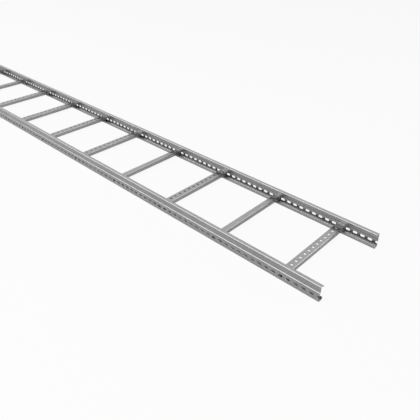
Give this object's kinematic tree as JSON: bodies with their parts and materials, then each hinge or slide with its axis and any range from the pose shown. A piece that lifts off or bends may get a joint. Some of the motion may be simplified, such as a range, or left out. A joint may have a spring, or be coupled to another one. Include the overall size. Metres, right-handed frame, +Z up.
{
  "type": "cable ladder section",
  "caption": "Straight cable ladder section: two slotted side rails of bent sheet steel joined by channel rungs, some with a row of holes.",
  "frame": {"origin": "middle of the underside, on the floor, midway between the ends and between the side rails", "axes": "+X along the ladder, +Y across it towards the left side rail, +Z up"},
  "size_m": [3, 0.322, 0.052],
  "materials": {
    "rail_steel": "galvanised, satin",
    "rung_steel": "galvanised, satin"
  },
  "bodies": {
    "root": {"side_rail_right": "rail_steel", "side_rail_left": "rail_steel", "rung_01": "rung_steel", "rung_02": "rung_steel", "rung_03": "rung_steel", "rung_04": "rung_steel", "rung_05": "rung_steel", "rung_06": "rung_steel", "rung_07": "rung_steel", "rung_08": "rung_steel", "rung_09": "rung_steel", "rung_10": "rung_steel", "rung_11": "rung_steel", "rung_12": "rung_steel"}
  },
  "joints": []
}
